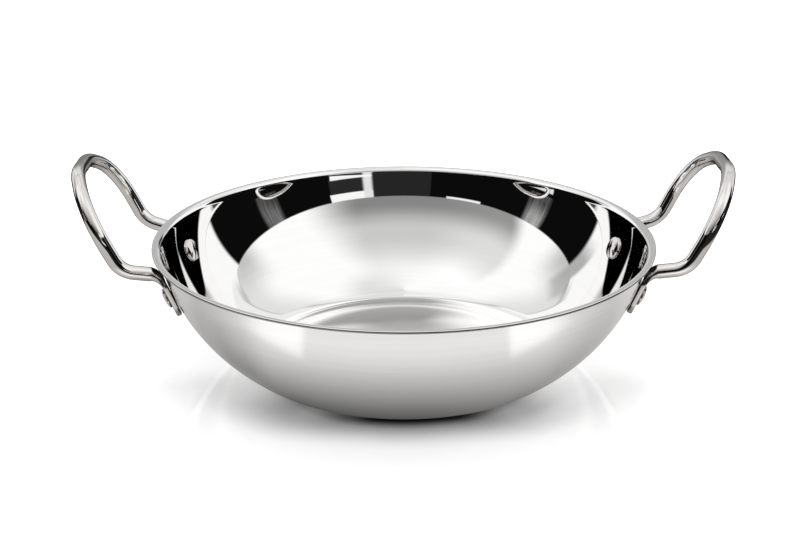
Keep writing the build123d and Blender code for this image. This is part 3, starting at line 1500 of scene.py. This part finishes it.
@dataclass(frozen=True)
class TableInSteel:
    """The table as steel shows it: dark close in, lit further out and unlit past that.

    A painted glow on the table that only steel sees, with the table's light and shade in it.
    Azimuths are in degrees from the camera's side, radii in metres from the pan's axis.

    Attributes:
        front_level: Brightness in front, under the flank.
        front_lift: How much brighter it is further out.
        right_lift: How much brighter it is on the right, close in.
        beside_ends: Azimuths over which the front gives way to the sides.
        beside_level: Brightness at the sides.
        beside_lifts: How much brighter they are further out, to the right and behind.
        dip: A darker part between front and side.
        dip_loss: How much weaker that part is on the right.
        gleam: Two brighter parts, left and right of the front.
        gleam_lean: How far out the gleam starts, in metres for each degree round.
        far_radii: Radii past which no flank shows the table.
        far_level: Brightness there.
        repeat_far: How much darker the far table is in steel that is seen in steel.
        repeat_near: How much darker the near table is there.
        reach: Radius where the lit table ends.
        fade: Width of the lit table's soft end.
        left_reach: How much further it reaches on the left.
        unlit_level: Brightness of the table past its lit part.
        behind_lift: How much brighter that is behind the pan.
        front_tint: Tint of the table in front.
        side_tint: Tint of the table at the sides.
        tint_ends: Azimuths over which the one gives way to the other.
    """

    front_level: float = 0.02
    front_lift: Patch = Patch(0.93, low=(0.060, 0.158))
    right_lift: Patch = Patch(0.09, start=(0.0, 40.0), high=(0.090, 0.130))
    beside_ends: Span = (38.0, 84.0)
    beside_level: float = 0.40
    beside_lifts: tuple[Patch, Patch, Patch] = (
        Patch(0.20, low=(0.090, 0.200)),
        Patch(0.09, start=(-60.0, 60.0)),
        Patch(0.07, start=(80.0, 95.0)),
    )
    dip: Patch = Patch(0.10, (44.0, 58.0), (66.0, 80.0), (0.085, 0.105), (0.140, 0.170))
    dip_loss: Patch = Patch(0.50, start=(-30.0, 30.0))
    gleam: Patch = Patch(0.28, start=(31.5, 33.5), end=(46.0, 62.0), low=(0.088, 0.104))
    gleam_lean: float = 0.0011
    far_radii: Span = (0.180, 0.215)
    far_level: float = 0.60
    repeat_far: Patch = Patch(0.90, low=(0.160, 0.240))
    repeat_near: Patch = Patch(0.75, high=(0.120, 0.145))
    reach: float = 0.26
    fade: float = 0.04
    left_reach: Patch = Patch(0.34, start=(0.0, 40.0), end=(80.0, 100.0))
    unlit_level: float = 0.02
    behind_lift: Patch = Patch(0.50, start=(140.0, 156.0))
    front_tint: Tint = (1.0, 0.99, 0.98)
    side_tint: Tint = (1.0, 0.98, 0.965)
    tint_ends: Span = (60.0, 90.0)

    def seen(self, works: NodeWorks, azimuth: Wire, away: Wire, repeated: Wire) -> Wire:
        """Work out the colour that the table shows in steel.

        Args:
            works: The table's tree.
            azimuth: Azimuth, in degrees.
            away: Radius, in metres.
            repeated: 1 where the steel is itself seen in steel.

        Returns:
            The colour.
        """
        side = azimuth.size()
        front = self.front_lift.over(side, away) + self.front_level
        front = front + self.right_lift.over(azimuth, away)
        beside: Value = self.beside_level
        for lift, turn in zip(self.beside_lifts, (side, azimuth, side)):
            beside = beside + lift.over(turn, away)
        dip = self.dip.over(side, away) * (1.0 - self.dip_loss.over(azimuth, away))
        level = front.blend(side.rise(self.beside_ends), beside) - dip
        level = level * (self.gleam.over(side, away - side * self.gleam_lean) + 1.0)
        level = level.blend(away.rise(self.far_radii), self.far_level)
        for shade in (self.repeat_far, self.repeat_near):
            level = level * (1.0 - shade.over(side, away) * repeated)
        left = self.left_reach.over(-azimuth, away)
        end = ((away - left - self.reach) / (left + self.fade)).rise((0.0, 1.0))
        level = level.blend(end, self.behind_lift.over(side, away) + self.unlit_level)
        tint = works.colour_mix(side.rise(self.tint_ends), opaque(self.front_tint), opaque(self.side_tint))
        return works.wire(works.add("ShaderNodeVectorMath", {"operation": "MULTIPLY"}, {0: tint, 1: level}))


@dataclass(frozen=True)
class TableShadow:
    """The pan's soft shadow on the white table, as the camera sees it.

    The shadow is painted into the table's base colour, with a painted glow that only the camera sees.
    Azimuths are in degrees from the camera's side, radii in metres from the pan's axis.

    Attributes:
        white_level: Base colour right under the pan, where the painted shadow is darkest.
        white_lift: How much paler the base colour is further out, as the painted shadow fades.
        white_draw: How much closer in the painted shadow fades at the sides.
        halo: How much the table glows outside the shadow, in front, as painted light.
        halo_draw: How much further out it glows between front and side.
        open_level: How much it glows at the sides.
        open_dip: How much less it does in a ring round the pan.
        open_ends: Azimuths over which the front gives way to the sides.
        open_turn: How much earlier it does on the right, in degrees.
        near_lift: How much more it glows close in, left and right of the front.
        right_loss: How much less it does close in on the right.
        left_lift: How much more it does close in on the left.
        far_lift: How much more it does far out.
    """

    white_level: float = 0.02
    white_lift: Patch = Patch(0.78, low=(0.0765, 0.0865))
    white_draw: Patch = Patch(0.006, start=(20.0, 50.0))
    halo: Patch = Patch(0.60, low=(0.077, 0.109))
    halo_draw: Patch = Patch(0.010, start=(10.0, 40.0), end=(80.0, 90.0))
    open_level: float = 0.62
    open_dip: Patch = Patch(0.17, end=(68.0, 84.0), low=(0.083, 0.107), high=(0.115, 0.139))
    open_ends: Span = (38.0, 84.0)
    open_turn: Patch = Patch(10.0, start=(-20.0, 20.0))
    near_lift: Patch = Patch(0.13, start=(18.0, 38.0), end=(56.0, 72.0), high=(0.086, 0.110))
    right_loss: Patch = Patch(0.11, start=(32.0, 44.0), end=(60.0, 72.0), high=(0.088, 0.100))
    left_lift: Patch = Patch(0.045, start=(11.0, 21.0), end=(31.0, 41.0), high=(0.084, 0.096))
    far_lift: Patch = Patch(0.50, low=(0.200, 0.450))

    def base(self, azimuth: Wire, away: Wire) -> Wire:
        """Work out the table's base colour.

        Args:
            azimuth: Azimuth, in degrees.
            away: Radius, in metres.

        Returns:
            The base colour, as a grey.
        """
        side = azimuth.size()
        # painted shadow: the base colour is darkest close round the pan's axis
        drawn = away + self.white_draw.over(side, away)
        return self.white_lift.over(side, drawn) + self.white_level

    def glow(self, azimuth: Wire, away: Wire) -> Wire:
        """Work out how much the table glows for the camera.

        Args:
            azimuth: Azimuth, in degrees.
            away: Radius, in metres.

        Returns:
            The glow.
        """
        side = azimuth.size()
        # painted light: a glow that lightens the table round the pan's shadow
        halo = self.halo.over(side, away - self.halo_draw.over(side, away))
        turned = side + self.open_turn.over(azimuth, away)
        beside = self.open_level - self.open_dip.over(side, away)
        glow = halo.blend(turned.rise(self.open_ends), beside)
        glow = glow - self.right_loss.over(azimuth, away) + self.left_lift.over(-azimuth, away)
        return glow + self.near_lift.over(side, away) + self.far_lift.over(side, away)


@dataclass(frozen=True)
class Studio:
    """The table, the walls and ceiling that the steel shows, and the camera.

    Attributes:
        turn: How far the camera's side is turned about Z, in radians.
        camera_distance: The camera's distance from the axis.
        camera_height: The camera's height.
        camera_pitch: How far it looks down, in degrees.
        lens: Its focal length, in millimetres.
        sensor: Width of its sensor, in millimetres.
        shift_x: Its sideways shift, as a share of the picture's width.
        clip: The nearest and the furthest that it sees.
        wall: The walls.
        ceiling: The ceiling.
        seam_soft: Half the height of the edge between wall and ceiling, in degrees.
        seam_shade: A shade along that edge behind the pan.
        second: What steel shows that is itself seen in steel.
        table_reach: Half the width of the table.
        table_drop: How far the table lies under the pan.
        table_roughness: Roughness of the table.
        table: The table as the steel shows it, as a painted glow.
        shadow: The pan's painted shadow on the table.
    """

    turn: float = 0.015
    camera_distance: float = 0.6943
    camera_height: float = 0.3030
    camera_pitch: float = 20.14
    lens: float = 65.85
    sensor: float = 36.0
    shift_x: float = -0.0049
    clip: Span = (0.01, 50.0)
    wall: Wall = Wall()
    ceiling: Ceiling = Ceiling()
    seam_soft: float = 0.4
    seam_shade: Patch = Patch(0.30, start=(120.0, 130.0), low=(-3.2, -0.8), high=(0.3, 2.7))
    second: SecondSight = SecondSight()
    table_reach: float = 4.0
    table_drop: float = 0.05 * MM
    table_roughness: float = 0.07
    table: TableInSteel = TableInSteel()
    shadow: TableShadow = TableShadow()

    def build_world(self) -> bpy.types.World:
        """Build the world that the steel shows; the camera itself sees white.

        Returns:
            The world.
        """
        world = bpy.data.worlds.new("studio")
        world.use_nodes = True
        works = NodeWorks(world.node_tree)
        direction = works.wire(works.add("ShaderNodeTexCoord"), "Generated")
        turned = works.add(
            "ShaderNodeVectorRotate",
            {"rotation_type": "Z_AXIS"},
            {"Vector": direction, "Angle": self.turn},
        )
        x, y, z = works.apart(works.wire(turned))
        azimuth = works.maths("ARCTAN2", x, -y) * DEGREES
        elevation = works.maths("ARCSINE", z) * DEGREES
        over = elevation - self.wall.top(azimuth)
        wall = self.wall.seen(works, azimuth, elevation)
        ceiling = self.ceiling.seen(works, azimuth, elevation)
        level = wall.blend(over.rise((-self.seam_soft, self.seam_soft)), ceiling)
        level = level * (1.0 - self.seam_shade.over(azimuth.size(), over))
        path = works.add("ShaderNodeLightPath")
        repeated = works.wire(path, "Glossy Depth").rise(SECOND_BOUNCE)
        level = level.blend(repeated, self.second.seen(azimuth, elevation))
        level = level.blend(works.wire(path, "Is Camera Ray"), 1.0)
        background = works.add("ShaderNodeBackground", None, {"Color": level, "Strength": 1.0})
        works.end("ShaderNodeOutputWorld", background)
        bpy.context.scene.world = world
        return world

    def table_finish(self) -> bpy.types.Material:
        """Build the table's material: glossy white with the shadow, and what steel shows of it.

        Returns:
            The material.
        """
        material = bpy.data.materials.new("white_table")
        material.use_nodes = True
        works = NodeWorks(material.node_tree)
        x, y, _ = works.apart(works.place())
        away = works.maths("SQRT", x * x + y * y)
        azimuth = works.maths("ARCTAN2", x, -y) * DEGREES
        path = works.add("ShaderNodeLightPath")
        repeated = works.wire(path, "Glossy Depth").rise(SECOND_BOUNCE)
        # painted light: only the camera sees the table's glow
        glow = works.wire(path, "Is Camera Ray") * self.shadow.glow(azimuth, away)
        plain = works.add(
            "ShaderNodeBsdfPrincipled",
            None,
            {
                "Base Color": self.shadow.base(azimuth, away),
                "Roughness": self.table_roughness,
                "Emission Color": glow,
                "Emission Strength": 1.0,
            },
        )
        # painted reflection: steel sees the table only as this glow, with its light and shade set by radius
        # and azimuth
        colour = self.table.seen(works, azimuth, away, repeated)
        mirrored = works.add("ShaderNodeEmission", None, {"Color": colour, "Strength": 1.0})
        glossy = works.wire(path, "Is Glossy Ray")
        mixed = works.add(
            "ShaderNodeMixShader", None, {0: glossy, 1: works.wire(plain), 2: works.wire(mirrored)}
        )
        works.end("ShaderNodeOutputMaterial", mixed)
        return material

    def build_table(self) -> bpy.types.Object:
        """Build the glossy white table under the pan.

        Returns:
            The table.
        """
        mesh = bpy.data.meshes.new("table")
        reach, level = self.table_reach, -self.table_drop
        ways = ((-1.0, -1.0), (1.0, -1.0), (1.0, 1.0), (-1.0, 1.0))
        corners = [(x * reach, y * reach, level) for x, y in ways]
        mesh.from_pydata(corners, [], [(0, 1, 2, 3)])
        mesh.materials.append(self.table_finish())
        table = bpy.data.objects.new("table", mesh)
        bpy.context.scene.collection.objects.link(table)
        return table

    def build_camera(self) -> bpy.types.Object:
        """Build the camera, at the photograph's place.

        Returns:
            The camera.
        """
        data = bpy.data.cameras.new("camera")
        data.lens = self.lens
        data.sensor_width = self.sensor
        data.shift_x = self.shift_x
        data.clip_start, data.clip_end = self.clip
        camera = bpy.data.objects.new("camera", data)
        bpy.context.scene.collection.objects.link(camera)
        side = Vector((math.sin(self.turn), math.cos(self.turn), 0.0))
        camera.location = -side * self.camera_distance + Vector((0.0, 0.0, self.camera_height))
        pitch = math.radians(self.camera_pitch)
        look = side * math.cos(pitch) - Vector((0.0, 0.0, math.sin(pitch)))
        camera.rotation_mode = "QUATERNION"
        camera.rotation_quaternion = look.to_track_quat("-Z", "Y")
        bpy.context.scene.camera = camera
        return camera

    def build(self) -> None:
        """Set up the camera, the world and the table."""
        self.build_camera()
        self.build_world()
        self.build_table()
        bpy.context.scene.view_settings.view_transform = "Standard"


def main() -> None:
    """Build the kadai and its studio, and log each piece."""
    logging.basicConfig(level=logging.INFO, format="%(name)s: %(message)s")
    Studio().build()
    bowl_steel = BowlSteel(
        "bowl_steel",
        tint=(0.90, 0.895, 0.89),
        roughness=0.016,
        brushing=0.008,
        bump=0.001 * MM,
    ).build()
    rod_steel = RodSteel(
        "handle_steel",
        tint=(0.78, 0.765, 0.75),
        roughness=0.035,
        brushing=0.014,
        bump=0.0005 * MM,
        grazing=(0.33, 0.33, 0.33),
        palm_painted_shade=0.32,
    ).build()
    rivet_steel = RodSteel(
        "rivet_steel",
        tint=(0.64, 0.625, 0.61),
        roughness=0.06,
        brushing=0.02,
        bump=0.001 * MM,
    ).build()
    spin = Spin("spin_half_section").build()
    bowl = Bowl()
    leg = LegLine(bowl)
    pieces = [bowl.build(spin, bowl_steel)]
    for side in Side:
        pieces.append(LoopHandle(leg, side).build(rod_steel))
        for row in Row:
            pieces.append(Rivet(leg, side, row).build(spin, rivet_steel))
    for piece in pieces:
        LOG.info("%s: %d faces", piece.name, len(piece.data.polygons))


if __name__ == "__main__":
    main()
